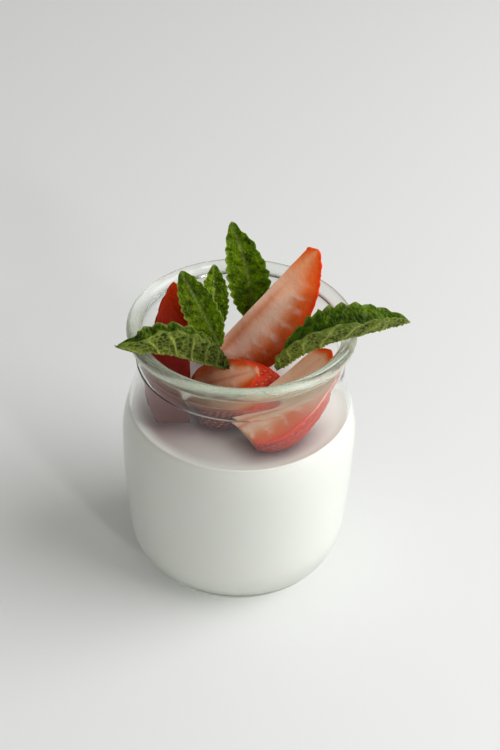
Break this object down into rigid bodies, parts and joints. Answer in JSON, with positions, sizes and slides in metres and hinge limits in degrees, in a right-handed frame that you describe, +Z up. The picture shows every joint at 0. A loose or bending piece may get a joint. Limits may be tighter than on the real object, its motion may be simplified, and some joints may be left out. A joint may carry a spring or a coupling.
{
  "type": "panna cotta dessert",
  "caption": "Set cream dessert in a clear glass jar, topped with strawberry quarters and mint leaves.",
  "frame": {"origin": "centre of the jar's flat base, on the surface it stands on", "axes": "+Z up along the jar's axis, -Y towards the front of the serving, +X to its right side"},
  "size_m": [0.0843, 0.0708, 0.1046],
  "materials": {
    "glass": "clear, faintly green, smooth",
    "cream": "smooth set cream with a satin surface",
    "strawberry": "moist fruit, glossy seeded skin and paler cut faces",
    "mint": "soft veined leaf"
  },
  "bodies": {
    "root": {"jar": "glass", "panna_cotta": "cream", "strawberry_centre": "strawberry", "strawberry_left": "strawberry", "strawberry_front": "strawberry", "strawberry_right": "strawberry", "mint_leaf_back": "mint", "mint_leaf_front": "mint", "mint_leaf_middle": "mint", "mint_leaf_left": "mint", "mint_leaf_right": "mint"}
  },
  "joints": []
}
